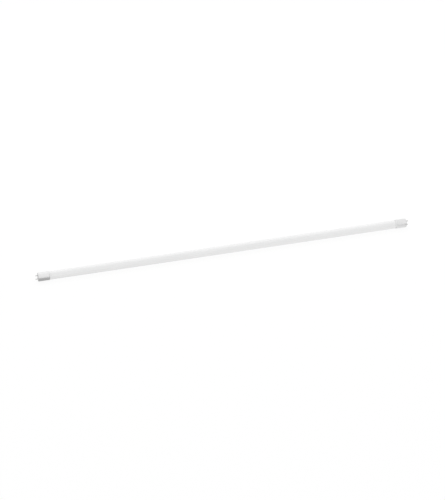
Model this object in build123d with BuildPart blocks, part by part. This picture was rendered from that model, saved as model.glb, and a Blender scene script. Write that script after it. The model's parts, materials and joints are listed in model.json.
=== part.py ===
from build123d import *
from math import sqrt
import os

# A 26 mm glass lamp tube with light-emitting diodes, 1.2 m long, with two pins at each end.
# The tube lies along X with its middle at the origin, and the pins of each end stand one above the other.
# An end piece is drawn by its depth, measured inwards from the end face, and by its radius.

# Lamp and pins
lamp_length = 1199.4        # end face to end face, without the pins
pin_length = 7.1            # from the end face to the pin's tip
pin_diameter = 2.35
pin_spacing = 12.7          # between the axes of the two pins
pin_tip_round = 0.6
pin_root_step = 0.4         # shoulder where the pin enters the insulator
pin_collar_lip = 0.35       # collar behind the insulator's floor, past the root
pin_collar_thickness = 0.8
pin_tail_diameter = 1.5
pin_tail_stand = 1.0        # tail beyond the contact board

# Glass tube
glass_diameter = 25.6
glass_wall = 0.8
glass_edge_chamfer = 0.2
glass_end_gap = 0.2         # between the glass end and the insulator's step

# Drawn metal cap
cap_length = 36.0
cap_wall = 0.5
cap_shoulder_radius = 1.7
cap_end_flange = 1.4        # flat ring between the shoulder and the insulator's boss
bead_width = 2.4
bead_height = 0.35
bead_inset = 2.8            # from the cap's rim to the bead's middle
cement_gap = 0.3            # bond line between the glass and the cap
cement_inset = 1.3          # bare stretch of glass before the cement
cement_margin = 1.0         # bare stretch between the cement and the bead

# Moulded insulator
boss_proud = 0.6            # how far the boss stands out of the cap
boss_edge_chamfer = 0.3
floor_depth = 2.6
hub_depth = 6.0             # depth of the step that the glass meets
hub_clearance = 0.1         # between the hub and the cap
skirt_depth = 20.0
skirt_wall = 1.0
skirt_clearance = 0.3       # between the skirt and the glass bore
post_diameter = 3.0
post_height = 2.4
post_margin = 2.2           # between a post and the skirt
rail_gap = 1.2              # between the contact board and the guide rails
rail_length = 4.6
rail_reach = 0.8            # how far a rail stands in past the board's edge
rail_lip = 0.9              # rail on each side of the board
boss_fit = 0.1              # between the boss and the cap's opening
pin_fit = 0.05              # between a pin and its hole

# Boards
board_thickness = 1.2
contact_board_clearance = 0.2
driver_back = 5.0           # driver board's back face, above the lamp's axis towards +Y
driver_edge_clearance = 0.3
rail_clearance = 0.1
tab_width = 3.0
tab_offset = 4.0
tab_stand = 0.4             # tab beyond the contact board
tab_clearance = 0.1
led_board_width = 11.0
led_board_thickness = 1.0
led_board_clearance = 0.1   # between the board's back corners and the glass bore
led_board_lead = 7.2        # strip between its own end and the header's middle
adhesive_width = 7.0
adhesive_gap = 4.8          # between the header's middle and the adhesive

# Light-emitting diodes
led_length = 3.5
led_width = 2.8
led_height = 0.7
led_window_margin = 0.45
led_window_depth = 0.15
led_pitch = 11.7
led_margin = 4.0            # between a cap's rim and the first diode

# Header between the two boards
header_pitch = 2.54
header_pin_width = 0.64
header_pin_stand = 0.8
header_pin_fit = 0.05

# Parts on the driver board, in one row above and one row below the middle
row_margin = 0.8            # bare board before the first part and after the last
row_gap = 0.9               # between two parts of a row
row_clearance = 0.2         # between a row and the board's middle line
fuse_diameter = 3.2
fuse_length = 6.0
fuse_end_bevel = 0.8
capacitor_diameter = 7.0
capacitor_length = 11.0
capacitor_edge_bevel = 0.5
capacitor_groove_depth = 0.5
capacitor_groove_width = 1.2
capacitor_groove_at = 2.0
film_length = 4.4
film_width = 6.4
film_height = 7.0
film_edge_round = 0.6
bridge_length = 4.8
bridge_width = 4.0
bridge_height = 2.4
bridge_legs = 2             # on each side
choke_diameter = 7.2
choke_height = 6.0
choke_flange = 1.0
choke_post_diameter = 3.2
choke_winding_inset = 0.4   # between the winding and the flanges' rims
chip_length = 4.9
chip_width = 3.9
chip_height = 1.5
chip_legs = 4               # on each side
leg_length = 1.0
leg_width = 0.5
leg_thickness = 0.3
package_chamfer = 0.3

# Shorting link of the far end
link_thickness = 0.5
link_width = 3.4
link_fit = 0.1

# Pins and glass
half_length = lamp_length / 2
pin_radius = pin_diameter / 2
pin_root_radius = pin_radius + pin_root_step
pin_collar_radius = pin_root_radius + pin_collar_lip
pin_tail_radius = pin_tail_diameter / 2
glass_radius = glass_diameter / 2
bore_radius = glass_radius - glass_wall
glass_end = hub_depth + glass_end_gap

# Cap and insulator
cap_inner_radius = glass_radius + cement_gap
cap_radius = cap_inner_radius + cap_wall
cap_inner_face = boss_proud + cap_wall
inner_bevel = cap_shoulder_radius - cap_wall
boss_radius = cap_radius - cap_shoulder_radius - cap_end_flange
cap_opening_radius = boss_radius + boss_fit
bead_depth = cap_length - bead_inset
bead_start = bead_depth - bead_width / 2
bead_end = bead_depth + bead_width / 2
cement_start = glass_end + cement_inset
cement_end = bead_start - cement_margin
hub_radius = cap_inner_radius - hub_clearance
skirt_radius = bore_radius - skirt_clearance
skirt_inner_radius = skirt_radius - skirt_wall
post_radius = post_diameter / 2
post_offset = skirt_inner_radius - post_margin - post_radius

# Boards, by their depth and by their height above the lamp's axis towards +Y
contact_board_outer = floor_depth + post_height
contact_board_inner = contact_board_outer + board_thickness
contact_board_radius = skirt_inner_radius - contact_board_clearance
pin_tail_end = contact_board_inner + pin_tail_stand
rail_depth = contact_board_inner + rail_gap
driver_half_width = sqrt((skirt_inner_radius - driver_edge_clearance) ** 2 - driver_back**2)
driver_front = driver_back - board_thickness
driver_middle = (driver_back + driver_front) / 2
led_board_back = sqrt((bore_radius - led_board_clearance) ** 2 - (led_board_width / 2) ** 2)
led_board_front = led_board_back - led_board_thickness
header_height = led_board_front - driver_back

# Rows of parts, from the contact board inwards: fuse, capacitor, film capacitor and header below the
# middle, bridge, choke and chip above it
fuse_radius = fuse_diameter / 2
capacitor_radius = capacitor_diameter / 2
choke_radius = choke_diameter / 2
row_start = contact_board_inner + row_margin
fuse_depth = row_start + fuse_radius
capacitor_start = fuse_depth + fuse_radius + row_gap
capacitor_end = capacitor_start + capacitor_length
film_depth = capacitor_end + row_gap + film_length / 2
header_depth = film_depth + film_length / 2 + row_gap + header_pitch / 2
driver_length = header_depth + header_pitch / 2 + row_margin - contact_board_inner
bridge_depth = row_start + bridge_length / 2
choke_depth = bridge_depth + bridge_length / 2 + row_gap + choke_radius
chip_depth = choke_depth + choke_radius + row_gap + chip_length / 2
led_board_start = header_depth - led_board_lead
led_board_length = lamp_length - 2 * led_board_start
adhesive_length = lamp_length - 2 * (header_depth + adhesive_gap)
lit_length = lamp_length - 2 * (cap_length + led_margin)
led_count = int(lit_length // led_pitch) + 1

ENDS = {"left": -1, "right": 1}
PIN_ROWS = {"upper": 1, "lower": -1}


def end_profile_plane(side, y=0.0, z=0.0):
    """Plane along a line parallel to the lamp's axis: local x is the depth, local y points up."""
    return Plane(origin=(side * half_length, y, z), x_dir=(-side, 0, 0), z_dir=(0, side, 0))


def end_face_plane(side, depth):
    """Plane across the lamp at a depth: extrusions run inwards, local y points up."""
    origin = (side * (half_length - depth), 0, 0)
    return Plane(origin=origin, x_dir=(0, -side, 0), z_dir=(-side, 0, 0))


def board_plane(y):
    """Plane parallel to the boards: local x is the depth at the left end, extrusions run to -Y."""
    return Plane(origin=(-half_length, y, 0), x_dir=(1, 0, 0), z_dir=(0, -1, 0))


def line_along_x(y, z):
    """Axis parallel to the lamp's own."""
    return Axis(origin=(0, y, z), direction=(1, 0, 0))


os.makedirs("parts", exist_ok=True)

# Glass tube with the edges of its ends broken
with BuildPart() as glass_tube:
    with BuildSketch(Plane.XZ):
        with Locations((0, bore_radius)):
            Rectangle(lamp_length - 2 * glass_end, glass_wall, align=(Align.CENTER, Align.MIN))
    revolve(axis=Axis.X)
    chamfer(glass_tube.edges().filter_by(GeomType.CIRCLE), glass_edge_chamfer)
glass_tube.part.label = "glass_tube"
export_step(glass_tube.part, "parts/glass_tube.step")

for end, side in ENDS.items():
    # Drawn cap with a rounded shoulder and a rolled bead near its rim
    with BuildPart() as cap:
        with BuildSketch(end_profile_plane(side)):
            with BuildLine():
                outer_flange = Line(
                    (boss_proud, cap_opening_radius),
                    (boss_proud, cap_radius - cap_shoulder_radius),
                )
                outer_shoulder = TangentArc(
                    outer_flange @ 1,
                    (boss_proud + cap_shoulder_radius, cap_radius),
                    tangent=outer_flange % 1,
                )
                Line(outer_shoulder @ 1, (bead_start, cap_radius))
                ThreePointArc(
                    (bead_start, cap_radius),
                    (bead_depth, cap_radius + bead_height),
                    (bead_end, cap_radius),
                )
                Polyline(
                    (bead_end, cap_radius),
                    (cap_length, cap_radius),
                    (cap_length, cap_inner_radius),
                    (cap_inner_face + inner_bevel, cap_inner_radius),
                    (cap_inner_face, cap_inner_radius - inner_bevel),
                    (cap_inner_face, cap_opening_radius),
                    (boss_proud, cap_opening_radius),
                )
            make_face()
        revolve(axis=Axis.X)
    cap.part.label = f"{end}_cap"
    export_step(cap.part, f"parts/{end}_cap.step")

    # Cement that bonds the cap to the glass
    with BuildPart() as cement:
        with BuildSketch(end_profile_plane(side)):
            with Locations((cement_start, glass_radius)):
                Rectangle(cement_end - cement_start, cement_gap, align=(Align.MIN, Align.MIN))
        revolve(axis=Axis.X)
    cement.part.label = f"{end}_cap_cement"
    export_step(cement.part, f"parts/{end}_cap_cement.step")

    # Moulded insulator: boss, hub and skirt, with posts, guide rails and pin holes
    with BuildPart() as insulator:
        with BuildSketch(end_profile_plane(side)):
            with BuildLine():
                Polyline(
                    (cap_inner_face, boss_radius),
                    (cap_inner_face, hub_radius - inner_bevel),
                    (cap_inner_face + inner_bevel, hub_radius),
                    (hub_depth, hub_radius),
                    (hub_depth, skirt_radius),
                    (skirt_depth, skirt_radius),
                    (skirt_depth, skirt_inner_radius),
                    (floor_depth, skirt_inner_radius),
                    (floor_depth, 0),
                    (0, 0),
                    (0, boss_radius),
                    (cap_inner_face, boss_radius),
                )
            make_face()
        revolve(axis=Axis.X)
        boss_edge = insulator.edges().filter_by(GeomType.CIRCLE).sort_by(Axis.X)[-1 if side > 0 else 0]
        chamfer(boss_edge, boss_edge_chamfer)
        with BuildSketch(end_face_plane(side, floor_depth)):
            with Locations((post_offset, 0), (-post_offset, 0)):
                Circle(post_radius)
        extrude(amount=post_height)
        with BuildSketch(end_face_plane(side, rail_depth)):
            rail_width = board_thickness + 2 * (rail_clearance + rail_lip)
            with Locations((-side * driver_middle, 0)):
                Rectangle(rail_width, 2 * skirt_radius)
            Circle(skirt_inner_radius + skirt_wall / 2, mode=Mode.INTERSECT)
            with Locations((-side * driver_middle, 0)):
                Rectangle(rail_width, 2 * (driver_half_width - rail_reach), mode=Mode.SUBTRACT)
                Rectangle(
                    board_thickness + 2 * rail_clearance,
                    2 * (driver_half_width + rail_clearance),
                    mode=Mode.SUBTRACT,
                )
        extrude(amount=rail_length)
        with BuildSketch(end_face_plane(side, 0)):
            with GridLocations(0, pin_spacing, 1, 2):
                Circle(pin_root_radius + pin_fit)
        extrude(amount=floor_depth, mode=Mode.SUBTRACT)
    insulator.part.label = f"{end}_insulator"
    export_step(insulator.part, f"parts/{end}_insulator.step")

    # Contact board on the insulator's posts, with slots for the driver board's tabs at its own end
    with BuildPart() as contact_board:
        with BuildSketch(end_face_plane(side, contact_board_outer)):
            Circle(contact_board_radius)
            with GridLocations(0, pin_spacing, 1, 2):
                Circle(pin_tail_radius + pin_fit, mode=Mode.SUBTRACT)
            if end == "left":
                with Locations((driver_middle, 0)):
                    with GridLocations(0, 2 * tab_offset, 1, 2):
                        Rectangle(
                            board_thickness + 2 * tab_clearance,
                            tab_width + 2 * tab_clearance,
                            mode=Mode.SUBTRACT,
                        )
        extrude(amount=board_thickness)
    contact_board.part.label = f"{end}_contact_board"
    export_step(contact_board.part, f"parts/{end}_contact_board.step")

    # Turned pins: rounded tip, shank, root in the insulator, collar behind its floor and soldered tail
    for row, level in PIN_ROWS.items():
        pin_z = level * pin_spacing / 2
        with BuildPart() as pin:
            with BuildSketch(end_profile_plane(side, z=pin_z)):
                with BuildLine():
                    tip_face = Line((-pin_length, 0), (-pin_length, pin_radius - pin_tip_round))
                    tip_edge = TangentArc(
                        tip_face @ 1,
                        (-pin_length + pin_tip_round, pin_radius),
                        tangent=tip_face % 1,
                    )
                    Polyline(
                        tip_edge @ 1,
                        (0, pin_radius),
                        (0, pin_root_radius),
                        (floor_depth, pin_root_radius),
                        (floor_depth, pin_collar_radius),
                        (floor_depth + pin_collar_thickness, pin_collar_radius),
                        (floor_depth + pin_collar_thickness, pin_tail_radius),
                        (pin_tail_end, pin_tail_radius),
                        (pin_tail_end, 0),
                        (-pin_length, 0),
                    )
                make_face()
            revolve(axis=line_along_x(0, pin_z))
        pin.part.label = f"{end}_{row}_pin"
        export_step(pin.part, f"parts/{end}_{row}_pin.step")

# Strap that joins the two pins of the far end
with BuildPart() as shorting_link:
    with BuildSketch(end_face_plane(ENDS["right"], contact_board_inner)):
        SlotCenterToCenter(pin_spacing, link_width, rotation=90)
        with GridLocations(0, pin_spacing, 1, 2):
            Circle(pin_tail_radius + link_fit, mode=Mode.SUBTRACT)
    extrude(amount=link_thickness)
shorting_link.part.label = "shorting_link"
export_step(shorting_link.part, "parts/shorting_link.step")

# Strip that carries the diodes, glued along the back of the bore
with BuildPart() as led_board:
    with BuildSketch(board_plane(led_board_back)):
        with Locations((half_length, 0)):
            Rectangle(led_board_length, led_board_width)
        with Locations((header_depth, 0)):
            with GridLocations(0, header_pitch, 1, 2):
                Rectangle(
                    header_pin_width + 2 * header_pin_fit,
                    header_pin_width + 2 * header_pin_fit,
                    mode=Mode.SUBTRACT,
                )
    extrude(amount=led_board_thickness)
led_board.part.label = "led_board"
export_step(led_board.part, "parts/led_board.step")

# Adhesive between the strip's flat back and the round bore
with BuildPart() as board_adhesive:
    with BuildSketch(Plane.YZ.offset(-adhesive_length / 2)):
        Circle(bore_radius)
        with Locations((led_board_back, 0)):
            Rectangle(
                glass_radius,
                adhesive_width,
                align=(Align.MIN, Align.CENTER),
                mode=Mode.INTERSECT,
            )
    extrude(amount=adhesive_length)
board_adhesive.part.label = "board_adhesive"
export_step(board_adhesive.part, "parts/board_adhesive.step")

# Row of diode packages, each with a shallow window
with BuildPart() as leds:
    with BuildSketch(board_plane(led_board_front)):
        with Locations((half_length, 0)):
            with GridLocations(led_pitch, 0, led_count, 1):
                Rectangle(led_length, led_width)
    extrude(amount=led_height)
    with BuildSketch(board_plane(led_board_front - led_height)):
        with Locations((half_length, 0)):
            with GridLocations(led_pitch, 0, led_count, 1):
                Rectangle(led_length - 2 * led_window_margin, led_width - 2 * led_window_margin)
    extrude(amount=-led_window_depth, mode=Mode.SUBTRACT)
leds.part.label = "leds"
export_step(leds.part, "parts/leds.step")

# Driver board, seated on the contact board with two tabs
with BuildPart() as driver_board:
    with BuildSketch(board_plane(driver_back)):
        with Locations((contact_board_inner, 0)):
            Rectangle(driver_length, 2 * driver_half_width, align=(Align.MIN, Align.CENTER))
            with GridLocations(0, 2 * tab_offset, 1, 2):
                Rectangle(board_thickness + tab_stand, tab_width, align=(Align.MAX, Align.CENTER))
        with Locations((header_depth, 0)):
            with GridLocations(0, header_pitch, 1, 2):
                Rectangle(
                    header_pin_width + 2 * header_pin_fit,
                    header_pin_width + 2 * header_pin_fit,
                    mode=Mode.SUBTRACT,
                )
    extrude(amount=board_thickness)
driver_board.part.label = "driver_board"
export_step(driver_board.part, "parts/driver_board.step")

# Header that stands between the driver board and the strip
with BuildPart() as header_body:
    with BuildSketch(board_plane(led_board_front)):
        with Locations((header_depth, 0)):
            Rectangle(header_pitch, 2 * header_pitch)
            with GridLocations(0, header_pitch, 1, 2):
                Rectangle(
                    header_pin_width + 2 * header_pin_fit,
                    header_pin_width + 2 * header_pin_fit,
                    mode=Mode.SUBTRACT,
                )
    extrude(amount=header_height)
header_body.part.label = "header_body"
export_step(header_body.part, "parts/header_body.step")

with BuildPart() as header_pins:
    with BuildSketch(board_plane(led_board_back + header_pin_stand)):
        with Locations((header_depth, 0)):
            with GridLocations(0, header_pitch, 1, 2):
                Rectangle(header_pin_width, header_pin_width)
    header_pin_length = led_board_back - driver_front + 2 * header_pin_stand
    extrude(amount=header_pin_length)
header_pins.part.label = "header_pins"
export_step(header_pins.part, "parts/header_pins.step")

# Input fuse, lying across the driver board
with BuildPart() as input_fuse:
    fuse_start = Plane(
        origin=(fuse_depth - half_length, driver_front - fuse_radius, -row_clearance),
        x_dir=(1, 0, 0),
        z_dir=(0, 0, -1),
    )
    with BuildSketch(fuse_start):
        Circle(fuse_radius)
    extrude(amount=fuse_length)
    chamfer(input_fuse.edges().filter_by(GeomType.CIRCLE), fuse_end_bevel)
input_fuse.part.label = "input_fuse"
export_step(input_fuse.part, "parts/input_fuse.step")


def leaded_package(depth, length, width, height, legs_per_side):
    """Moulded body with flat legs along its two long sides, above the board's middle line."""
    middle = (depth, row_clearance + leg_length + width / 2)
    with BuildPart() as package:
        with BuildSketch(board_plane(driver_front)):
            with Locations(middle):
                Rectangle(length, width)
        extrude(amount=height)
        chamfer(package.faces().sort_by(Axis.Y)[0].edges(), package_chamfer)
        with BuildSketch(board_plane(driver_front)):
            with Locations(middle):
                with GridLocations(length / legs_per_side, 0, legs_per_side, 1):
                    Rectangle(leg_width, width + 2 * leg_length)
        extrude(amount=leg_thickness)
    return package


bridge_rectifier = leaded_package(bridge_depth, bridge_length, bridge_width, bridge_height, bridge_legs)
bridge_rectifier.part.label = "bridge_rectifier"
export_step(bridge_rectifier.part, "parts/bridge_rectifier.step")

control_chip = leaded_package(chip_depth, chip_length, chip_width, chip_height, chip_legs)
control_chip.part.label = "control_chip"
export_step(control_chip.part, "parts/control_chip.step")

# Bulk capacitor, lying along the driver board, with its rolled groove
with BuildPart() as bulk_capacitor:
    capacitor_y = driver_front - capacitor_radius
    capacitor_z = -row_clearance - capacitor_radius
    groove_middle = capacitor_start + capacitor_groove_at
    with BuildSketch(end_profile_plane(ENDS["left"], capacitor_y, capacitor_z)):
        with BuildLine():
            Polyline(
                (capacitor_start, 0),
                (capacitor_start, capacitor_radius - capacitor_edge_bevel),
                (capacitor_start + capacitor_edge_bevel, capacitor_radius),
                (groove_middle - capacitor_groove_width / 2, capacitor_radius),
                (groove_middle, capacitor_radius - capacitor_groove_depth),
                (groove_middle + capacitor_groove_width / 2, capacitor_radius),
                (capacitor_end - capacitor_edge_bevel, capacitor_radius),
                (capacitor_end, capacitor_radius - capacitor_edge_bevel),
                (capacitor_end, 0),
                (capacitor_start, 0),
            )
        make_face()
    revolve(axis=line_along_x(capacitor_y, capacitor_z))
bulk_capacitor.part.label = "bulk_capacitor"
export_step(bulk_capacitor.part, "parts/bulk_capacitor.step")

# Choke: a drum core and the winding between its flanges
choke_place = (choke_depth, row_clearance + choke_radius)
with BuildPart() as choke_core:
    with BuildSketch(board_plane(driver_front)):
        with Locations(choke_place):
            Circle(choke_radius)
    extrude(amount=choke_height)
    with BuildSketch(board_plane(driver_front - choke_flange)):
        with Locations(choke_place):
            Circle(choke_radius)
            Circle(choke_post_diameter / 2, mode=Mode.SUBTRACT)
    extrude(amount=choke_height - 2 * choke_flange, mode=Mode.SUBTRACT)
choke_core.part.label = "choke_core"
export_step(choke_core.part, "parts/choke_core.step")

with BuildPart() as choke_winding:
    with BuildSketch(board_plane(driver_front - choke_flange)):
        with Locations(choke_place):
            Circle(choke_radius - choke_winding_inset)
            Circle(choke_post_diameter / 2, mode=Mode.SUBTRACT)
    extrude(amount=choke_height - 2 * choke_flange)
choke_winding.part.label = "choke_winding"
export_step(choke_winding.part, "parts/choke_winding.step")

# Film capacitor, a dipped box with rounded upright edges
with BuildPart() as film_capacitor:
    with BuildSketch(board_plane(driver_front)):
        with Locations((film_depth, -row_clearance - film_width / 2)):
            RectangleRounded(film_length, film_width, film_edge_round)
    extrude(amount=film_height)
film_capacitor.part.label = "film_capacitor"
export_step(film_capacitor.part, "parts/film_capacitor.step")
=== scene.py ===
"""Looks of a straight lamp tube with light-emitting diodes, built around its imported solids."""

import json
import logging
import math
from dataclasses import dataclass
from enum import Enum, IntEnum

import bmesh
import bpy
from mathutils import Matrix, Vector

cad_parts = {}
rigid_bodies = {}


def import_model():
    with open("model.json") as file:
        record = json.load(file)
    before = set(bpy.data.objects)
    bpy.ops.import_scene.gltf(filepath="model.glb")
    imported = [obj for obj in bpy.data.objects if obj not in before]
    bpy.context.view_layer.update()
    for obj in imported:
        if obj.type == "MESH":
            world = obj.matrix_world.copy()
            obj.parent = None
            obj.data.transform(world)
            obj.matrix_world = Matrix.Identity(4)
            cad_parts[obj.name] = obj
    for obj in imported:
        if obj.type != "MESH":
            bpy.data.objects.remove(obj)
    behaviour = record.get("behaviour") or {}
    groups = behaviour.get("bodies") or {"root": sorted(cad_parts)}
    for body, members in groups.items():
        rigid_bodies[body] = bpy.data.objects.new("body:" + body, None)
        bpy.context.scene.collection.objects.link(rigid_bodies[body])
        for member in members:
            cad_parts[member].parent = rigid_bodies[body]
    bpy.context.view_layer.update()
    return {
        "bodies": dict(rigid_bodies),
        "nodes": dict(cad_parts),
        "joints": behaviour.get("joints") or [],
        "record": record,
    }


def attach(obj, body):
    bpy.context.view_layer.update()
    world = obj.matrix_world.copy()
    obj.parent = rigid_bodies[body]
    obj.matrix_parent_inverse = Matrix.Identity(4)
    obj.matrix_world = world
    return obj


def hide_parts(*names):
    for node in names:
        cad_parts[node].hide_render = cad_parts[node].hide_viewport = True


LOG = logging.getLogger("lamp_tube")
MM = 0.001
Colour = tuple[float, float, float]
Corner = tuple[float, float]
Pair = tuple[float, float]
Range = tuple[float, float]
Triple = tuple[float, float, float]

# Parts of a soft noise's range over which a blend goes from its first side to its second.
WIDE: Range = (0.3, 0.7)
MIDDLE: Range = (0.35, 0.65)
NARROW: Range = (0.38, 0.62)

# Y of a surface's normal, below which the surface faces the lamp's front.
FRONT_LIMIT = -0.5

# Numbers of the sockets that the Mix node has for colours: three inputs and an output.
MIX_SHARE, MIX_FIRST, MIX_SECOND, MIX_RESULT = 0, 6, 7, 2


def opaque(colour: Colour) -> tuple[float, float, float, float]:
    """The colour with full alpha, as a colour socket takes it."""
    return (*colour, 1.0)


class End(Enum):
    """The two ends of the lamp, with the sign of their side along X."""

    LEFT = -1
    RIGHT = 1

    @property
    def word(self) -> str:
        """Name of the end as the solids' names have it."""
        return self.name.lower()


class Wire:
    """One socket of a node tree, on which arithmetic adds Math nodes."""

    def __init__(self, shader: "Shader", socket: bpy.types.NodeSocket | None) -> None:
        """Keeps the tree and the socket.

        Args:
            shader: tree that the socket is in.
            socket: output that the value comes from, or None after a node that has no output.
        """
        self.shader = shader
        self.socket = socket

    def math(self, operation: str, *values: "Wire | float") -> "Wire":
        """Adds a Math node.

        Args:
            operation: the node's operation.
            *values: its inputs, in order.

        Returns:
            The node's result.
        """
        return self.shader.node("ShaderNodeMath", {"operation": operation}, dict(enumerate(values)))

    def __add__(self, other: "Wire | float") -> "Wire":
        """Sum of the two."""
        return self.math("ADD", self, other)

    def __radd__(self, other: float) -> "Wire":
        """Sum of the two."""
        return self.math("ADD", other, self)

    def __sub__(self, other: "Wire | float") -> "Wire":
        """This less the other."""
        return self.math("SUBTRACT", self, other)

    def __rsub__(self, other: float) -> "Wire":
        """The other less this."""
        return self.math("SUBTRACT", other, self)

    def __mul__(self, other: "Wire | float") -> "Wire":
        """Product of the two."""
        return self.math("MULTIPLY", self, other)

    def __rmul__(self, other: float) -> "Wire":
        """Product of the two."""
        return self.math("MULTIPLY", other, self)

    def __truediv__(self, other: "Wire | float") -> "Wire":
        """This over the other."""
        return self.math("DIVIDE", self, other)

    def __pow__(self, other: "Wire | float") -> "Wire":
        """This to the power of the other."""
        return self.math("POWER", self, other)

    def __gt__(self, other: "Wire | float") -> "Wire":
        """1 where this is more than the other, else 0."""
        return self.math("GREATER_THAN", self, other)

    def __lt__(self, other: "Wire | float") -> "Wire":
        """1 where this is less than the other, else 0."""
        return self.math("LESS_THAN", self, other)

    def __abs__(self) -> "Wire":
        """This without its sign."""
        return self.math("ABSOLUTE", self)

    def wrapped(self, reach: float) -> "Wire":
        """This, repeated so that it stays between -reach and reach."""
        return self.math("WRAP", self, reach, -reach)

    def hypot(self, other: "Wire") -> "Wire":
        """Length of the line that has this and the other as its two coordinates."""
        return (self * self + other * other) ** 0.5


class Shader:
    """Node tree of a material or of the world, and the ways in which it gets its nodes."""

    def __init__(self, tree: bpy.types.NodeTree) -> None:
        """Empties the tree.

        Args:
            tree: node tree to build in.
        """
        self.tree = tree
        tree.nodes.clear()

    def node(
        self,
        kind: str,
        settings: dict[str, object] | None = None,
        sockets: dict[int | str, object] | None = None,
        output: int | str = 0,
    ) -> Wire:
        """Adds a node of any type.

        Args:
            kind: the node's type.
            settings: its properties, set first.
            sockets: values or links of its inputs, by number or name.
            output: which of its outputs to return.

        Returns:
            The chosen output.
        """
        made = self.tree.nodes.new(kind)
        for name, value in (settings or {}).items():
            setattr(made, name, value)
        for key, value in (sockets or {}).items():
            if isinstance(value, Wire):
                self.tree.links.new(value.socket, made.inputs[key])
            else:
                made.inputs[key].default_value = value
        return Wire(self, made.outputs[output] if len(made.outputs) else None)

    def place(self) -> Wire:
        """Place on the piece, in metres."""
        return self.node("ShaderNodeTexCoord", output="Object")

    def faces_front(self) -> Wire:
        """1 where the surface faces the lamp's front, else 0."""
        return self.axes(self.node("ShaderNodeTexCoord", output="Normal"))[1] < FRONT_LIMIT

    def axes(self, vector: Wire) -> tuple[Wire, Wire, Wire]:
        """Splits a vector.

        Args:
            vector: the vector.

        Returns:
            Its x, y and z.
        """
        split = self.node("ShaderNodeSeparateXYZ", sockets={0: vector}).socket.node
        return tuple(Wire(self, output) for output in split.outputs)

    def vector(self, x: Wire | float, y: Wire | float, z: Wire | float) -> Wire:
        """Vector of three values."""
        return self.node("ShaderNodeCombineXYZ", sockets={0: x, 1: y, 2: z})

    def stretched(self, vector: Wire, factors: Triple) -> Wire:
        """Vector multiplied axis by axis."""
        return self.node("ShaderNodeVectorMath", {"operation": "MULTIPLY"}, {0: vector, 1: factors})

    def weighted(self, shares: tuple[float, ...], *values: Wire) -> Wire:
        """Adds up values, each times its share.

        Args:
            shares: a number for each value.
            *values: the values.

        Returns:
            The sum.
        """
        first, *others = (share * value for share, value in zip(shares, values, strict=True))
        return sum(others, first)

    def noise(self, vector: Wire, scale: float, detail: float = 3.0, roughness: float = 0.5) -> Wire:
        """Soft noise from 0 to 1.

        Args:
            vector: place that it is read at.
            scale: waves per unit of the vector.
            detail: number of finer waves on the first.
            roughness: how strong the finer waves are.

        Returns:
            The noise's value.
        """
        sockets = {"Vector": vector, "Scale": scale, "Detail": detail, "Roughness": roughness}
        return self.node("ShaderNodeTexNoise", sockets=sockets)

    def span(self, value: Wire, reach: Range, result: Range = (0.0, 1.0)) -> Wire:
        """Moves a value from one range to another and clamps it there.

        Args:
            value: the value.
            reach: its values at the two ends.
            result: what they become.

        Returns:
            The value in the new range.
        """
        sockets = dict(enumerate((value, *reach, *result)))
        return self.node("ShaderNodeMapRange", {"clamp": True}, sockets)

    def blend(self, share: Wire, first: Wire | Colour, second: Wire | Colour) -> Wire:
        """Mixes two colours.

        Args:
            share: 0 for the first colour, 1 for the second.
            first: the first colour.
            second: the second colour.

        Returns:
            The mixed colour.
        """
        sockets = {MIX_SHARE: share}
        for number, colour in {MIX_FIRST: first, MIX_SECOND: second}.items():
            sockets[number] = colour if isinstance(colour, Wire) else opaque(colour)
        return self.node("ShaderNodeMix", {"data_type": "RGBA"}, sockets, MIX_RESULT)

    def bump(self, height: Wire, distance_mm: float) -> Wire:
        """Normal bent by a height.

        Args:
            height: height from 0 to 1.
            distance_mm: what a height of 1 stands for.

        Returns:
            The normal.
        """
        return self.node("ShaderNodeBump", sockets={"Distance": distance_mm * MM, "Height": height})

    def surface(self, values: dict[str, object]) -> None:
        """Adds the surface's shader and the output.

        Args:
            values: inputs of the Principled shader by name, as numbers or wires.
        """
        shaded = self.node("ShaderNodeBsdfPrincipled", sockets=values)
        self.node("ShaderNodeOutputMaterial", sockets={"Surface": shaded})


@dataclass(frozen=True)
class Finish:
    """What every finish has: a name, and a material that its nodes make."""

    name: str

    def material(self) -> bpy.types.Material:
        """Makes the material.

        Returns:
            The material with its nodes.
        """
        made = bpy.data.materials.new(self.name)
        made.use_nodes = True
        self.shade(Shader(made.node_tree))
        return made

    def shade(self, shader: Shader) -> None:
        """Builds the nodes; each kind of finish has its own."""
        raise NotImplementedError

    def put_on(self, piece: bpy.types.Object) -> None:
        """Gives the whole piece this finish.

        Args:
            piece: CAD node or new piece.
        """
        made = bpy.data.materials.get(self.name) or self.material()
        if piece.material_slots:
            for each in piece.material_slots:
                each.material = made
        else:
            piece.data.materials.append(made)
        LOG.info("%s has the finish %s", piece.name, self.name)


@dataclass(frozen=True)
class Grained(Finish):
    """Plain material with two tones, a fine grain and uneven gloss."""

    tone: Colour
    second_tone: Colour
    patch_mm: float
    grain_mm: float
    grain_depth_mm: float
    gloss: Range
    patch_share: float = 0.6
    metallic: float = 0.0
    coat: float = 0.0

    def shade(self, shader: Shader) -> None:
        """Patches of two tones, a grain in the surface and roughness that varies with both.

        Args:
            shader: tree of the material.
        """
        place = shader.place()
        patches = shader.noise(place, 1 / (self.patch_mm * MM), detail=4.0)
        grain = shader.noise(place, 1 / (self.grain_mm * MM), detail=2.0)
        uneven = shader.weighted((self.patch_share, 1 - self.patch_share), patches, grain)
        shader.surface(
            {
                "Base Color": shader.blend(shader.span(patches, MIDDLE), self.tone, self.second_tone),
                "Roughness": shader.span(uneven, WIDE, self.gloss),
                "Metallic": self.metallic,
                "Coat Weight": self.coat,
                "Normal": shader.bump(grain, self.grain_depth_mm),
            }
        )


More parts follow.
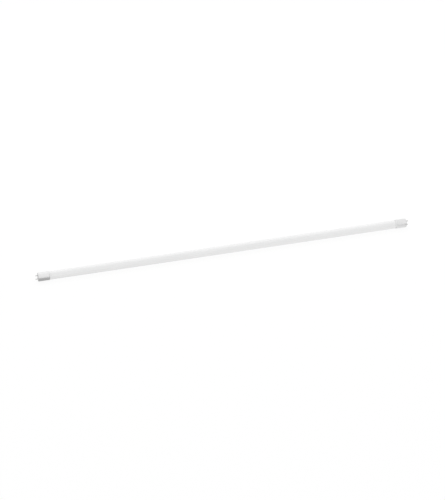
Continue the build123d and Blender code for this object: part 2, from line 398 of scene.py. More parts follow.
@dataclass(frozen=True)
class OpalGlass(Finish):
    """Drawn glass over a white diffusing layer."""

    tone: Colour = (0.806, 0.806, 0.806)
    thin_tone: Colour = (0.792, 0.792, 0.792)
    clouds_per_metre: float = 45.0
    cloud_stretch: Triple = (0.35, 1.0, 1.0)
    cloud_share: float = 0.75
    specks_per_metre: float = 900.0
    lines_per_metre: float = 420.0
    line_stretch: Triple = (0.012, 1.0, 1.0)
    line_depth_mm: float = 0.012
    line_share: float = 0.5
    gloss: Range = (0.34, 0.46)
    specular: float = 0.3
    coat: float = 0.9
    coat_roughness: float = 0.1

    def shade(self, shader: Shader) -> None:
        """A slightly uneven white layer, draw lines along the tube and a clear glossy skin.

        Args:
            shader: tree of the material.
        """
        place = shader.place()
        cloud = shader.noise(shader.stretched(place, self.cloud_stretch), self.clouds_per_metre, detail=4.0)
        speck = shader.noise(place, self.specks_per_metre, detail=2.0)
        lines = shader.noise(shader.stretched(place, self.line_stretch), self.lines_per_metre)
        cover = shader.weighted((self.cloud_share, 1 - self.cloud_share), cloud, speck)
        uneven = shader.weighted((self.line_share, 1 - self.line_share), lines, speck)
        shader.surface(
            {
                "Base Color": shader.blend(shader.span(cover, NARROW), self.tone, self.thin_tone),
                "Roughness": shader.span(uneven, WIDE, self.gloss),
                "Specular IOR Level": self.specular,
                "Coat Weight": self.coat,
                "Coat Roughness": self.coat_roughness,
                "Normal": shader.bump(lines, self.line_depth_mm),
            }
        )


@dataclass(frozen=True)
class DrawnMetal(Finish):
    """Satin aluminium with turning rings round the lamp's axis.

    Args:
        body_radius_mm: radius that the bead stands out of.
        bead_height_mm: how far it stands out.
        polish_from: share of that height where the polish starts.
        drift: how much the rings wander with y and with z on their way round.
        tone_shares: parts that clouds, bands and rings have in the tone.
        gloss_shares: parts that clouds, smears and bands have in the roughness.
        depth_shares: parts that rings and bands have in the relief.
    """

    tone: Colour = (0.873, 0.873, 0.873)
    dull_tone: Colour = (0.833, 0.833, 0.833)
    polished_tone: Colour = (0.902, 0.902, 0.902)
    body_radius_mm: float = 13.6
    bead_height_mm: float = 0.35
    polish_from: float = 0.3
    polish_gloss: float = 0.08
    drift: Pair = (0.01, 0.012)
    rings_per_metre: float = 5200.0
    bands_per_metre: float = 620.0
    clouds_per_metre: float = 160.0
    smears_per_metre: float = 700.0
    smear_stretch: Triple = (1.0, 0.3, 0.3)
    ring_roughness: float = 0.7
    tone_shares: Triple = (0.35, 0.4, 0.25)
    gloss_shares: Triple = (0.3, 0.3, 0.4)
    depth_shares: Pair = (0.45, 0.55)
    depth_mm: float = 0.02
    gloss: Range = (0.3, 0.5)

    def shade(self, shader: Shader) -> None:
        """Fine rings, clouded gloss and a bead that handling has polished.

        Args:
            shader: tree of the material.
        """
        place = shader.place()
        x, y, z = shader.axes(place)
        radius = y.hypot(z)
        ring_place = shader.vector(x, radius, shader.weighted(self.drift, y, z))
        rings = shader.noise(ring_place, self.rings_per_metre, roughness=self.ring_roughness)
        bands = shader.noise(ring_place, self.bands_per_metre, detail=4.0, roughness=self.ring_roughness)
        cloud = shader.noise(place, self.clouds_per_metre, detail=4.0)
        smear = shader.noise(shader.stretched(place, self.smear_stretch), self.smears_per_metre)
        body, bead = self.body_radius_mm * MM, self.bead_height_mm * MM
        polish = shader.span(radius, (body + self.polish_from * bead, body + bead))
        dull = shader.span(shader.weighted(self.tone_shares, cloud, bands, rings), NARROW)
        uneven = shader.weighted(self.gloss_shares, cloud, smear, bands)
        base = shader.blend(dull, self.tone, self.dull_tone)
        shader.surface(
            {
                "Base Color": shader.blend(polish, base, self.polished_tone),
                "Metallic": 1.0,
                "Roughness": shader.span(uneven, MIDDLE, self.gloss) - self.polish_gloss * polish,
                "Normal": shader.bump(shader.weighted(self.depth_shares, rings, bands), self.depth_mm),
            }
        )


@dataclass(frozen=True)
class PlatedPin(Finish):
    """Nickel plate with the scratches of being pushed into a holder."""

    tone: Colour = (0.60, 0.60, 0.60)
    worn_tone: Colour = (0.48, 0.48, 0.48)
    face_mm: float = 599.7
    tip_mm: float = 606.8
    root_wear: float = 0.55
    wear_reach: Range = (0.42, 0.62)
    scratches_per_metre: float = 6500.0
    scratch_stretch: Triple = (0.04, 1.0, 1.0)
    scratch_roughness: float = 0.7
    scratch_depth_mm: float = 0.004
    clouds_per_metre: float = 900.0
    cloud_share: float = 0.6
    gloss: Range = (0.2, 0.36)

    def shade(self, shader: Shader) -> None:
        """Scratches along the pin, denser towards its tip, over a clouded plate.

        Args:
            shader: tree of the material.
        """
        place = shader.place()
        x, _, _ = shader.axes(place)
        along = shader.stretched(place, self.scratch_stretch)
        scratches = shader.noise(along, self.scratches_per_metre, roughness=self.scratch_roughness)
        cloud = shader.noise(place, self.clouds_per_metre)
        outside = shader.span(abs(x), (self.face_mm * MM, self.tip_mm * MM))
        wear = scratches * (self.root_wear + (1 - self.root_wear) * outside)
        uneven = shader.weighted((self.cloud_share, 1 - self.cloud_share), cloud, scratches)
        shader.surface(
            {
                "Base Color": shader.blend(shader.span(wear, self.wear_reach), self.tone, self.worn_tone),
                "Metallic": 1.0,
                "Roughness": shader.span(uneven, WIDE, self.gloss),
                "Normal": shader.bump(scratches, self.scratch_depth_mm),
            }
        )


@dataclass(frozen=True)
class BoardLaminate(Finish):
    """Glass-fibre board under a coloured lacquer, with copper areas that show through it."""

    lacquer: Colour = (0.02, 0.13, 0.055)
    over_copper: Colour = (0.035, 0.20, 0.085)
    areas_per_metre: float = 190.0
    unevenness: float = 0.9
    gap_reach: Range = (0.05, 0.08)
    weaves_per_metre: float = 2600.0
    weave_share: float = 0.3
    depth_mm: float = 0.03
    gloss: Range = (0.28, 0.4)

    def shade(self, shader: Shader) -> None:
        """Copper areas split by narrow gaps, and the weave of the fibres in the lacquer.

        Args:
            shader: tree of the material.
        """
        place = shader.place()
        x, y, z = shader.axes(place)
        flat = shader.vector(x + y, z, 0.0)
        cells = {"Vector": flat, "Scale": self.areas_per_metre, "Randomness": self.unevenness}
        nearest, second = (
            shader.node(
                "ShaderNodeTexVoronoi", {"feature": rank, "distance": "CHEBYCHEV"}, cells, "Distance"
            )
            for rank in ("F1", "F2")
        )
        copper = shader.span(second - nearest, self.gap_reach)
        weave = shader.noise(place, self.weaves_per_metre, detail=1.0)
        shader.surface(
            {
                "Base Color": shader.blend(copper, self.lacquer, self.over_copper),
                "Roughness": shader.span(weave, WIDE, self.gloss),
                "Normal": shader.bump(self.weave_share * weave + copper, self.depth_mm),
            }
        )


@dataclass(frozen=True)
class LedStrip(Finish):
    """White lacquered strip with a tinned pad at each end of every diode."""

    lacquer: Colour = (0.80, 0.80, 0.78)
    grained_lacquer: Colour = (0.74, 0.74, 0.72)
    tin: Colour = (0.62, 0.62, 0.60)
    pitch_mm: float = 11.7
    pad_from_mm: float = 1.75
    pad_to_mm: float = 2.5
    pad_half_width_mm: float = 1.1
    row_end_mm: float = 561.6
    grains_per_metre: float = 1800.0
    grain_depth_mm: float = 0.006
    gloss: Range = (0.32, 0.46)
    tin_gloss: float = 0.08

    def shade(self, shader: Shader) -> None:
        """Pads repeat with the diodes on their side, and the rest is a faintly grained white lacquer.

        Args:
            shader: tree of the material.
        """
        place = shader.place()
        x, _, z = shader.axes(place)
        half = self.pitch_mm * MM / 2
        along = abs((x + half).wrapped(half))
        pad = (along > self.pad_from_mm * MM) * (along < self.pad_to_mm * MM)
        pad = pad * (abs(z) < self.pad_half_width_mm * MM) * (abs(x) < self.row_end_mm * MM)
        pad = pad * shader.faces_front()
        grain = shader.noise(place, self.grains_per_metre, detail=2.0)
        lacquer = shader.blend(grain, self.lacquer, self.grained_lacquer)
        shader.surface(
            {
                "Base Color": shader.blend(pad, lacquer, self.tin),
                "Metallic": pad,
                "Roughness": shader.span(grain, WIDE, self.gloss) - self.tin_gloss * pad,
                "Normal": shader.bump(grain, self.grain_depth_mm),
            }
        )


@dataclass(frozen=True)
class DiodePackage(Finish):
    """White moulded frame round a window of yellow phosphor."""

    frame: Colour = (0.82, 0.82, 0.80)
    grained_frame: Colour = (0.74, 0.74, 0.71)
    phosphor: Colour = (0.80, 0.60, 0.10)
    deep_phosphor: Colour = (0.72, 0.50, 0.06)
    window_y_mm: float = 9.0
    window_margin_mm: float = 0.06
    grains_per_metre: float = 5200.0
    grain_depth_mm: float = 0.008
    gloss: Range = (0.3, 0.45)

    def shade(self, shader: Shader) -> None:
        """The window is told by the height of its floor and by the way that it faces.

        Args:
            shader: tree of the material.
        """
        place = shader.place()
        _, y, _ = shader.axes(place)
        level = abs(y - self.window_y_mm * MM) < self.window_margin_mm * MM
        window = level * shader.faces_front()
        grain = shader.noise(place, self.grains_per_metre, detail=2.0)
        frame = shader.blend(grain, self.frame, self.grained_frame)
        phosphor = shader.blend(grain, self.phosphor, self.deep_phosphor)
        shader.surface(
            {
                "Base Color": shader.blend(window, frame, phosphor),
                "Roughness": shader.span(grain, WIDE, self.gloss),
                "Normal": shader.bump(grain, self.grain_depth_mm),
            }
        )


@dataclass(frozen=True)
class CapacitorSleeve(Finish):
    """Shrunk plastic sleeve with a pale stripe along one side, and a bare metal end."""

    sleeve: Colour = (0.018, 0.024, 0.07)
    grained_sleeve: Colour = (0.03, 0.038, 0.10)
    stripe_tone: Colour = (0.42, 0.44, 0.48)
    end_metal: Colour = (0.7, 0.7, 0.71)
    middle_y_mm: float = 0.3
    middle_z_mm: float = -3.7
    radius_mm: float = 3.5
    start_mm: float = -588.6
    disc_depth_mm: float = 0.3
    disc_share: float = 0.78
    stripe_half_width_mm: float = 1.2
    grains_per_metre: float = 1500.0
    grain_depth_mm: float = 0.008
    gloss: Range = (0.25, 0.38)

    def shade(self, shader: Shader) -> None:
        """The stripe runs along the side away from the board, and the end disc is aluminium.

        Args:
            shader: tree of the material.
        """
        place = shader.place()
        x, y, z = shader.axes(place)
        across = z - self.middle_z_mm * MM
        up = y - self.middle_y_mm * MM
        stripe = (abs(across) < self.stripe_half_width_mm * MM) * (up < 0.0)
        radius = across.hypot(up)
        at_end = x < (self.start_mm + self.disc_depth_mm) * MM
        disc = at_end * (radius < self.disc_share * self.radius_mm * MM)
        grain = shader.noise(place, self.grains_per_metre, detail=2.0)
        sleeve = shader.blend(grain, self.sleeve, self.grained_sleeve)
        banded = shader.blend(stripe, sleeve, self.stripe_tone)
        shader.surface(
            {
                "Base Color": shader.blend(disc, banded, self.end_metal),
                "Metallic": disc,
                "Roughness": shader.span(grain, WIDE, self.gloss),
                "Normal": shader.bump(grain, self.grain_depth_mm),
            }
        )


@dataclass(frozen=True)
class WoundWire(Finish):
    """Enamelled copper wire in close turns about a line along Y."""

    enamel: Colour = (0.55, 0.20, 0.07)
    deep_enamel: Colour = (0.42, 0.13, 0.04)
    wire_mm: float = 0.35
    turn_depth_mm: float = 0.1
    clouds_per_metre: float = 1200.0
    gloss: Range = (0.24, 0.36)

    def shade(self, shader: Shader) -> None:
        """Each turn is a rounded ridge, with a little colour change from turn to turn.

        Args:
            shader: tree of the material.
        """
        place = shader.place()
        _, y, _ = shader.axes(place)
        half = self.wire_mm * MM / 2
        from_crest = abs(y.wrapped(half)) / half
        cloud = shader.noise(place, self.clouds_per_metre, detail=2.0)
        shader.surface(
            {
                "Base Color": shader.blend(cloud, self.enamel, self.deep_enamel),
                "Metallic": 1.0,
                "Roughness": shader.span(cloud, WIDE, self.gloss),
                "Normal": shader.bump(1.0 - from_crest * from_crest, self.turn_depth_mm),
            }
        )


@dataclass
class Turned:
    """A closed section turned about the lamp's axis.

    Args:
        name: name of the piece.
        corners: corners of the section in order, each its x and radius in millimetres.
        rounds: by a corner's number, the width and the segments of the rounding there.
        steps: flats round the axis before smoothing.
        touch: how near two points are to count as one, in metres.
        ring_reach: how far a ring's points may lie from their corner, in metres.
        crease_deg: angle between two faces from which their edge stays sharp.
    """

    name: str
    corners: list[Corner]
    rounds: dict[int, tuple[float, int]]
    steps: int = 160
    touch: float = 1e-7
    ring_reach: float = 2e-6
    crease_deg: float = 32.0

    def ring(self, bm: bmesh.types.BMesh, corner: Corner) -> list[bmesh.types.BMEdge]:
        """Edges of the ring that a corner makes.

        Args:
            bm: mesh after the turn.
            corner: x and radius in millimetres.

        Returns:
            The ring's edges.
        """
        x, radius = corner[0] * MM, corner[1] * MM

        def on_ring(vertex: bmesh.types.BMVert) -> bool:
            """Whether a vertex lies on the ring."""
            off_radius = abs(math.hypot(vertex.co.y, vertex.co.z) - radius)
            return abs(vertex.co.x - x) < self.ring_reach and off_radius < self.ring_reach

        return [edge for edge in bm.edges if all(on_ring(vertex) for vertex in edge.verts)]

    def build(self) -> bpy.types.Object:
        """Turns the section, rounds its corners and makes the object.

        Returns:
            The piece, at the origin.
        """
        bm = bmesh.new()
        vertices = [bm.verts.new((x * MM, 0.0, radius * MM)) for x, radius in self.corners]
        edges = [bm.edges.new(pair) for pair in zip(vertices, vertices[1:] + vertices[:1])]
        bmesh.ops.spin(
            bm,
            geom=vertices + edges,
            cent=(0.0, 0.0, 0.0),
            axis=(1.0, 0.0, 0.0),
            angle=2 * math.pi,
            steps=self.steps,
            use_merge=True,
            use_duplicate=False,
        )
        bmesh.ops.remove_doubles(bm, verts=bm.verts, dist=self.touch)
        for number, (width, segments) in self.rounds.items():
            bmesh.ops.bevel(
                bm,
                geom=self.ring(bm, self.corners[number]),
                offset=width * MM,
                offset_type="OFFSET",
                segments=segments,
                profile=0.5,
                affect="EDGES",
                clamp_overlap=False,
                material=-1,
            )
        bmesh.ops.recalc_face_normals(bm, faces=bm.faces)
        for face in bm.faces:
            face.smooth = True
        for edge in bm.edges:
            edge.smooth = edge.calc_face_angle(0.0) < math.radians(self.crease_deg)
        mesh = bpy.data.meshes.new(self.name)
        bm.to_mesh(mesh)
        LOG.info("%s built with %d faces", self.name, len(bm.faces))
        bm.free()
        made = bpy.data.objects.new(self.name, mesh)
        bpy.context.scene.collection.objects.link(made)
        return made


@dataclass
class GlassTube:
    """The straight tube that gives the lamp its white body, in millimetres."""

    half_length: float = 593.5
    outer_radius: float = 12.8
    wall: float = 0.8
    edge_round: float = 0.22
    edge_segments: int = 3
    slot: str = "frosted_glass"
    finish: OpalGlass = OpalGlass("opal_glass")

    def build(self) -> bpy.types.Object:
        """Makes the tube in place of its coarser solid.

        Returns:
            The tube.
        """
        inner_radius = self.outer_radius - self.wall
        corners = [
            (-self.half_length, inner_radius),
            (-self.half_length, self.outer_radius),
            (self.half_length, self.outer_radius),
            (self.half_length, inner_radius),
        ]
        rounds = {number: (self.edge_round, self.edge_segments) for number in range(len(corners))}
        piece = Turned("opal_tube", corners, rounds).build()
        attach(piece, "root")
        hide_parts("glass_tube")
        return piece

    def dress(self, piece: bpy.types.Object) -> None:
        """Gives the tube its finish."""
        self.finish.put_on(piece)


class CapCorner(IntEnum):
    """Corners of a cap's section, from its opening along the outside to the rim and back inside."""

    OPENING = 0
    SHOULDER = 1
    BEAD_START = 2
    BEAD_TOP = 3
    BEAD_END = 4
    RIM = 5
    INNER_RIM = 6
    INNER_SHOULDER = 7
    INNER_OPENING = 8


@dataclass
class EndCap:
    """A drawn cap with its rounded shoulder, its bead and its broken rim, in millimetres.

    Args:
        end: end of the lamp that it is on.
        half_length: from the lamp's middle to the end face that depths are measured from.
        bead_apex: height of the bead's corner before its crown is rounded.
        bead_crown: width of the crown's rounding.
        bead_fillet: width of the rounding where the bead leaves the wall.
    """

    end: End
    half_length: float = 599.7
    length: float = 36.0
    radius: float = 13.6
    wall: float = 0.5
    face_depth: float = 0.6
    opening_radius: float = 10.6
    shoulder: float = 1.7
    shoulder_segments: int = 12
    inner_segments: int = 6
    bead_depth: float = 33.2
    bead_half_width: float = 1.2
    bead_apex: float = 0.614
    bead_crown: float = 1.09
    crown_segments: int = 10
    bead_fillet: float = 0.25
    edge_round: float = 0.12
    fine_segments: int = 3
    coarse_segments: int = 2
    slot: str = "cap_metal"
    finish: DrawnMetal = DrawnMetal("satin_cap_metal")

    def section(self) -> dict[CapCorner, Corner]:
        """Corners of the cap's section.

        Returns:
            By corner, its depth from the end face and its radius.
        """
        inner_radius = self.radius - self.wall
        inner_face = self.face_depth + self.wall
        return {
            CapCorner.OPENING: (self.face_depth, self.opening_radius),
            CapCorner.SHOULDER: (self.face_depth, self.radius),
            CapCorner.BEAD_START: (self.bead_depth - self.bead_half_width, self.radius),
            CapCorner.BEAD_TOP: (self.bead_depth, self.radius + self.bead_apex),
            CapCorner.BEAD_END: (self.bead_depth + self.bead_half_width, self.radius),
            CapCorner.RIM: (self.length, self.radius),
            CapCorner.INNER_RIM: (self.length, inner_radius),
            CapCorner.INNER_SHOULDER: (inner_face, inner_radius),
            CapCorner.INNER_OPENING: (inner_face, self.opening_radius),
        }

    def rounds(self) -> dict[int, tuple[float, int]]:
        """Roundings of the section's corners, in the order in which they are made.

        Returns:
            By corner, the width and the segments.
        """
        return {
            CapCorner.SHOULDER: (self.shoulder, self.shoulder_segments),
            CapCorner.BEAD_START: (self.bead_fillet, self.fine_segments),
            CapCorner.BEAD_END: (self.bead_fillet, self.fine_segments),
            CapCorner.BEAD_TOP: (self.bead_crown, self.crown_segments),
            CapCorner.RIM: (self.edge_round, self.fine_segments),
            CapCorner.INNER_RIM: (self.edge_round, self.coarse_segments),
            CapCorner.INNER_SHOULDER: (self.shoulder - self.wall, self.inner_segments),
            CapCorner.OPENING: (self.edge_round, self.coarse_segments),
        }

    def build(self) -> bpy.types.Object:
        """Makes the cap in place of its solid.

        Returns:
            The cap.
        """
        side = self.end.value
        corners = [(side * (self.half_length - depth), radius) for depth, radius in self.section().values()]
        piece = Turned(f"{self.end.word}_end_cap", corners, self.rounds()).build()
        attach(piece, "root")
        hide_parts(f"{self.end.word}_cap")
        return piece

    def dress(self, piece: bpy.types.Object) -> None:
        """Gives the cap its finish."""
        self.finish.put_on(piece)


# Finishes that more than one solid has, and those that are a plain grained material.
GREEN_BOARD = BoardLaminate("green_board")
NICKEL_PIN = PlatedPin("plated_pin")
BLACK_MOULDING = Grained(
    "black_moulding",
    tone=(0.02, 0.02, 0.022),
    second_tone=(0.03, 0.03, 0.032),
    patch_mm=4.0,
    grain_mm=0.25,
    grain_depth_mm=0.01,
    gloss=(0.4, 0.55),
)
PALE_INSULATOR = Grained(
    "pale_insulator",
    tone=(0.76, 0.76, 0.76),
    second_tone=(0.70, 0.70, 0.70),
    patch_mm=5.0,
    grain_mm=0.3,
    grain_depth_mm=0.012,
    gloss=(0.42, 0.58),
)
PALE_CEMENT = Grained(
    "pale_cement",
    tone=(0.74, 0.74, 0.70),
    second_tone=(0.66, 0.66, 0.61),
    patch_mm=3.0,
    grain_mm=0.5,
    grain_depth_mm=0.06,
    gloss=(0.6, 0.8),
)
TINNED_LINK = Grained(
    "tinned_link",
    tone=(0.62, 0.62, 0.60),
    second_tone=(0.54, 0.53, 0.50),
    patch_mm=1.5,
    grain_mm=0.2,
    grain_depth_mm=0.006,
    gloss=(0.25, 0.42),
    metallic=1.0,
)
MILKY_ADHESIVE = Grained(
    "milky_adhesive",
    tone=(0.72, 0.73, 0.73),
    second_tone=(0.64, 0.65, 0.65),
    patch_mm=8.0,
    grain_mm=1.2,
    grain_depth_mm=0.05,
    gloss=(0.3, 0.45),
)
FUSE_BODY = Grained(
    "fuse_body",
    tone=(0.10, 0.23, 0.13),
    second_tone=(0.07, 0.18, 0.10),
    patch_mm=2.0,
    grain_mm=0.3,
    grain_depth_mm=0.012,
    gloss=(0.3, 0.45),
    coat=0.3,
)
DARK_FERRITE = Grained(
    "dark_ferrite",
    tone=(0.035, 0.032, 0.032),
    second_tone=(0.055, 0.05, 0.05),
    patch_mm=1.5,
    grain_mm=0.15,
    grain_depth_mm=0.02,
    gloss=(0.45, 0.65),
)
DIPPED_RESIN = Grained(
    "dipped_resin",
    tone=(0.60, 0.34, 0.02),
    second_tone=(0.50, 0.26, 0.015),
    patch_mm=3.0,
    grain_mm=0.6,
    grain_depth_mm=0.03,
    gloss=(0.2, 0.34),
    coat=0.4,
)


class KeptSolids:
    """A sub-assembly whose solids keep their shape and only get their finishes."""

    def finishes(self) -> dict[str, Finish]:
        """By the solid's name, its finish; each sub-assembly has its own."""
        raise NotImplementedError

    def dress(self, nodes: dict[str, bpy.types.Object]) -> None:
        """Gives each solid its finish.

        Args:
            nodes: the frame's solids by name.
        """
        for name, finish in self.finishes().items():
            finish.put_on(nodes[name])


@dataclass
class EndFittings(KeptSolids):
    """What an end of the lamp holds in and behind its cap."""

    end: End

    def finishes(self) -> dict[str, Finish]:
        """Finishes of the cement, the insulator, the round board and the two pins.

        Returns:
            By the solid's name, its finish.
        """
        by_part = {
            "cap_cement": PALE_CEMENT,
            "insulator": PALE_INSULATOR,
            "contact_board": GREEN_BOARD,
            "upper_pin": NICKEL_PIN,
            "lower_pin": NICKEL_PIN,
        }
        return {f"{self.end.word}_{part}": finish for part, finish in by_part.items()}


@dataclass
class LightRow(KeptSolids):
    """The strip in the tube's bore, its diodes, its bond and the link that joins the far pins."""

    strip: LedStrip = LedStrip("white_strip")
    package: DiodePackage = DiodePackage("diode_package")

    def finishes(self) -> dict[str, Finish]:
        """Finishes of the strip and what belongs to it.

        Returns:
            By the solid's name, its finish.
        """
        return {
            "shorting_link": TINNED_LINK,
            "led_board": self.strip,
            "board_adhesive": MILKY_ADHESIVE,
            "leds": self.package,
        }


@dataclass
class Driver(KeptSolids):
    """The board that feeds the diodes, with its parts and the header that leads to the strip."""

    sleeve: CapacitorSleeve = CapacitorSleeve("capacitor_sleeve")
    winding: WoundWire = WoundWire("copper_turns")

    def finishes(self) -> dict[str, Finish]:
        """Finishes of the board and its parts.

        Returns:
            By the solid's name, its finish.
        """
        return {
            "driver_board": GREEN_BOARD,
            "header_body": BLACK_MOULDING,
            "header_pins": NICKEL_PIN,
            "input_fuse": FUSE_BODY,
            "bridge_rectifier": BLACK_MOULDING,
            "control_chip": BLACK_MOULDING,
            "bulk_capacitor": self.sleeve,
            "choke_core": DARK_FERRITE,
            "choke_winding": self.winding,
            "film_capacitor": DIPPED_RESIN,
        }


def direction(azimuth: float, elevation: float) -> Vector:
    """Unit vector from the middle towards a place round the object.

    Args:
        azimuth: 0 in front, 90 to the right, in degrees.
        elevation: degrees above the horizon.

    Returns:
        The direction.
    """
    turn, rise = math.radians(azimuth), math.radians(elevation)
    return Vector((math.sin(turn) * math.cos(rise), -math.cos(turn) * math.cos(rise), math.sin(rise)))


@dataclass(frozen=True)
class Softbox:
    """A large lamp of the studio, aimed at the lamp tube's middle.

    Args:
        name: name of the lamp.
        azimuth: direction that it stands in, 0 in front and 90 to the right, in degrees.
        elevation: its height above the horizon, in degrees.
        distance: metres from the middle.
        size: its width and height in metres.
        watts: its power.
        in_gloss: whether shiny surfaces show it.
    """

    name: str
    azimuth: float
    elevation: float
    distance: float
    size: Pair
    watts: float
    in_gloss: bool = False

    def build(self) -> None:
        """Puts the lamp in the scene."""
        data = bpy.data.lights.new(self.name, "AREA")
        data.shape = "RECTANGLE"
        data.size, data.size_y = self.size
        data.energy = self.watts
        lamp = bpy.data.objects.new(self.name, data)
        lamp.visible_camera, lamp.visible_glossy = False, self.in_gloss
        away = direction(self.azimuth, self.elevation)
        lamp.location = away * self.distance
        lamp.rotation_mode = "QUATERNION"
        lamp.rotation_quaternion = (-away).to_track_quat("-Z", "Y")
        bpy.context.scene.collection.objects.link(lamp)


@dataclass
class Studio:
    """White floor and surround with soft lamps.

    Brightness is a strength of emission, where 1 is white. What is called gloss is what shiny
    surfaces show of the floor and of the sky. Reaches are in metres.

    Args:
        floor_level: height of the floor in millimetres.
        shadow_share: part that lamps and shadows have in the floor near the lamp tube.
        shadow_reach: distances between which that part fades out.
        floor_glow: brightness of the floor as a source of soft light.
        left_end: place on the floor by the left end, round which its gloss is dimmer, a painted shade that
            only reflections show.
        left_reach: distances from there between which it comes back.
        behind_reach: how far behind the lamp tube the floor's gloss gets brighter, a painted light that
            only reflections show.
        beyond_reach: distances along X, past the ends, between which it gets dimmer, a painted shade that
            only reflections show.
        beyond_share: what is left of it there.
        right_reach: x of a direction between which the sky's gloss gets dimmer to the right.
    """

    floor_level: float = -13.95
    floor_size: float = 30.0
    floor_cells: int = 8
    floor_tone: Colour = (0.93, 0.93, 0.93)
    shadow_share: float = 0.1
    shadow_reach: Range = (0.9, 2.4)
    sky_tone: Colour = (1.0, 1.0, 1.0)
    sky_light: float = 0.98
    sky_gloss: float = 0.97
    sky_gloss_right: float = 0.35
    right_reach: Range = (0.45, 0.9)
    floor_gloss: float = 0.84
    painted_shade_gloss_left: float = 0.45
    painted_light_gloss_behind: float = 0.95
    floor_glow: float = 0.92
    left_end: Triple = (-0.62, -0.08, -0.014)
    left_reach: Range = (0.08, 0.7)
    behind_reach: Range = (0.012, 0.04)
    beyond_reach: Range = (0.597, 0.64)
    beyond_share: float = 0.45
    lamps: tuple[Softbox, ...] = (
        Softbox("back_softbox", 165.0, 50.0, 3.0, (3.0, 1.6), 21.0),
        Softbox("left_kicker", -161.6, 49.0, 1.45, (0.8, 0.8), 0.4, in_gloss=True),
    )

    def build(self) -> None:
        """Makes the floor, the surround and the lamps."""
        self.build_floor()
        self.build_surround()
        for lamp in self.lamps:
            lamp.build()

    @staticmethod
    def rays(shader: Shader) -> tuple[Wire, Wire]:
        """Tells kinds of rays apart.

        Args:
            shader: tree of the floor or of the world.

        Returns:
            1 for the camera's rays and those through glass, else 0.
            1 for rays off shiny surfaces, else 0.
        """
        path = shader.node("ShaderNodeLightPath").socket.node
        camera, gloss, through = (
            Wire(shader, path.outputs[name])
            for name in ("Is Camera Ray", "Is Glossy Ray", "Is Transmission Ray")
        )
        return camera.math("MAXIMUM", camera, through), gloss

    def gloss_of_floor(self, shader: Shader, place: Wire) -> Wire:
        """Brightness of the floor as shiny surfaces show it: painted shade round the left end and past the
        ends, painted light behind the tube.

        Args:
            shader: tree of the floor.
            place: place on the floor.

        Returns:
            The brightness.
        """
        x, y, _ = shader.axes(place)
        pair = {0: place, 1: self.left_end}
        from_left = shader.node("ShaderNodeVectorMath", {"operation": "DISTANCE"}, pair, "Value")
        # Painted shade: the floor's gloss dims round the left end, so the left cap's underside reflects it
        # darker.
        in_front = shader.span(from_left, self.left_reach, (self.painted_shade_gloss_left, self.floor_gloss))
        behind = shader.span(y, self.behind_reach)
        # Painted light: the floor's gloss gets brighter behind the lamp tube.
        along = in_front + behind * (self.painted_light_gloss_behind - in_front)
        # Painted shade: the floor's gloss gets dimmer past the ends.
        return along * shader.span(abs(x), self.beyond_reach, (1.0, self.beyond_share))

    def floor_material(self) -> bpy.types.Material:
        """White to the eye apart from a soft shadow, and a source of soft light.

        Returns:
            The floor's material.
        """
        made = bpy.data.materials.new("floor_white")
        made.use_nodes = True
        shader = Shader(made.node_tree)
        place = shader.place()
        far = shader.node("ShaderNodeVectorMath", {"operation": "LENGTH"}, {0: place}, "Value")
        seen, gloss = self.rays(shader)
        soft = 1.0 - seen - gloss
        in_sight = shader.span(far, self.shadow_reach, (1 - self.shadow_share, 1.0))
        share = seen * in_sight + gloss + soft * self.floor_glow
        strength = 1.0 - gloss + gloss * self.gloss_of_floor(shader, place)
        lit = shader.node("ShaderNodeBsdfDiffuse", sockets={"Color": opaque(self.floor_tone)})
        white = shader.node("ShaderNodeEmission", sockets={"Strength": strength})
        mixed = shader.node("ShaderNodeMixShader", sockets={0: share, 1: lit, 2: white})
        shader.node("ShaderNodeOutputMaterial", sockets={"Surface": mixed})
        return made

    def build_floor(self) -> None:
        """A wide floor that the lamp tube lies on."""
        bm = bmesh.new()
        cells = self.floor_cells
        bmesh.ops.create_grid(bm, x_segments=cells, y_segments=cells, size=self.floor_size / 2)
        bmesh.ops.translate(bm, verts=bm.verts, vec=(0.0, 0.0, self.floor_level * MM))
        mesh = bpy.data.meshes.new("floor")
        bm.to_mesh(mesh)
        bm.free()
        mesh.materials.append(self.floor_material())
        floor = bpy.data.objects.new("floor", mesh)
        bpy.context.scene.collection.objects.link(floor)

    def build_surround(self) -> None:
        """White to the eye, and a plain sky to light and gloss, dimmer to the right in gloss."""
        world = bpy.data.worlds.new("studio")
        bpy.context.scene.world = world
        world.use_nodes = True
        shader = Shader(world.node_tree)
        x, _, _ = shader.axes(shader.node("ShaderNodeTexCoord", output="Generated"))
        in_gloss = shader.span(x, self.right_reach, (self.sky_gloss, self.sky_gloss_right))
        seen, gloss = self.rays(shader)
        strength = seen + gloss * in_gloss + (1.0 - seen - gloss) * self.sky_light
        sky_sockets = {"Color": opaque(self.sky_tone), "Strength": strength}
        sky = shader.node("ShaderNodeBackground", sockets=sky_sockets)
        shader.node("ShaderNodeOutputWorld", sockets={"Surface": sky})


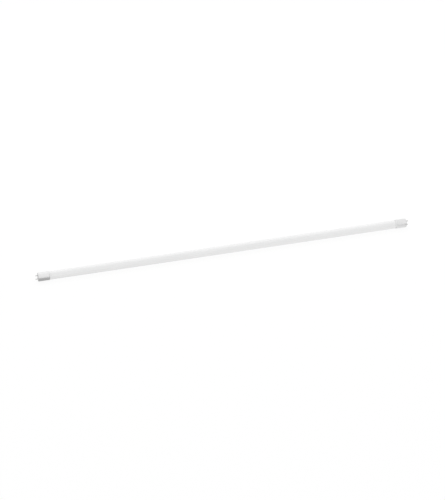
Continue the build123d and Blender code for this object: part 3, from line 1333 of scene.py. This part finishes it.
@dataclass(frozen=True)
class PhotoCamera:
    """Camera at the photograph's angle, far off with a long lens.

    Args:
        azimuth: direction that it stands in, 0 in front and 90 to the right, in degrees.
        elevation: its height above the horizon, in degrees.
        lens: focal length in millimetres.
        sensor: the sensor's longer side in millimetres.
        frame_height_px: height of the photograph.
        mm_per_px: what a pixel of the photograph covers at the lamp's middle.
        aim_right_mm: how far right of the lamp's middle it aims.
        aim_up_mm: how far above the lamp's middle it aims.
        clip: nearest and farthest distance that it shows, in metres.
    """

    azimuth: float = -15.2
    elevation: float = 33.0
    lens: float = 200.0
    sensor: float = 36.0
    frame_height_px: float = 500.0
    mm_per_px: float = 3.145
    aim_right_mm: float = -6.27
    aim_up_mm: float = -1.35
    clip: Range = (0.1, 100.0)

    def build(self) -> None:
        """Puts the camera in the scene and makes it the scene's own."""
        data = bpy.data.cameras.new("photo_camera")
        data.lens, data.sensor_width = self.lens, self.sensor
        data.clip_start, data.clip_end = self.clip
        camera = bpy.data.objects.new("photo_camera", data)
        away = direction(self.azimuth, self.elevation)
        turned = (-away).to_track_quat("-Z", "Y")
        right, up = turned @ Vector((1.0, 0.0, 0.0)), turned @ Vector((0.0, 1.0, 0.0))
        aim = (right * self.aim_right_mm + up * self.aim_up_mm) * MM
        distance = self.frame_height_px * self.mm_per_px * MM * self.lens / self.sensor
        camera.location = aim + away * distance
        camera.rotation_mode = "QUATERNION"
        camera.rotation_quaternion = turned
        bpy.context.scene.collection.objects.link(camera)
        bpy.context.scene.camera = camera


def main() -> None:
    """Builds the scene: camera, studio, tube, caps, and the finishes of the other solids."""
    logging.basicConfig(level=logging.INFO, format="%(message)s")
    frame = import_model()
    bpy.context.scene.view_settings.view_transform = "Standard"
    PhotoCamera().build()
    Studio().build()
    tube = GlassTube()
    tube.dress(tube.build())
    for end in End:
        cap = EndCap(end)
        cap.dress(cap.build())
        EndFittings(end).dress(frame["nodes"])
    LightRow().dress(frame["nodes"])
    Driver().dress(frame["nodes"])


if __name__ == "__main__":
    main()
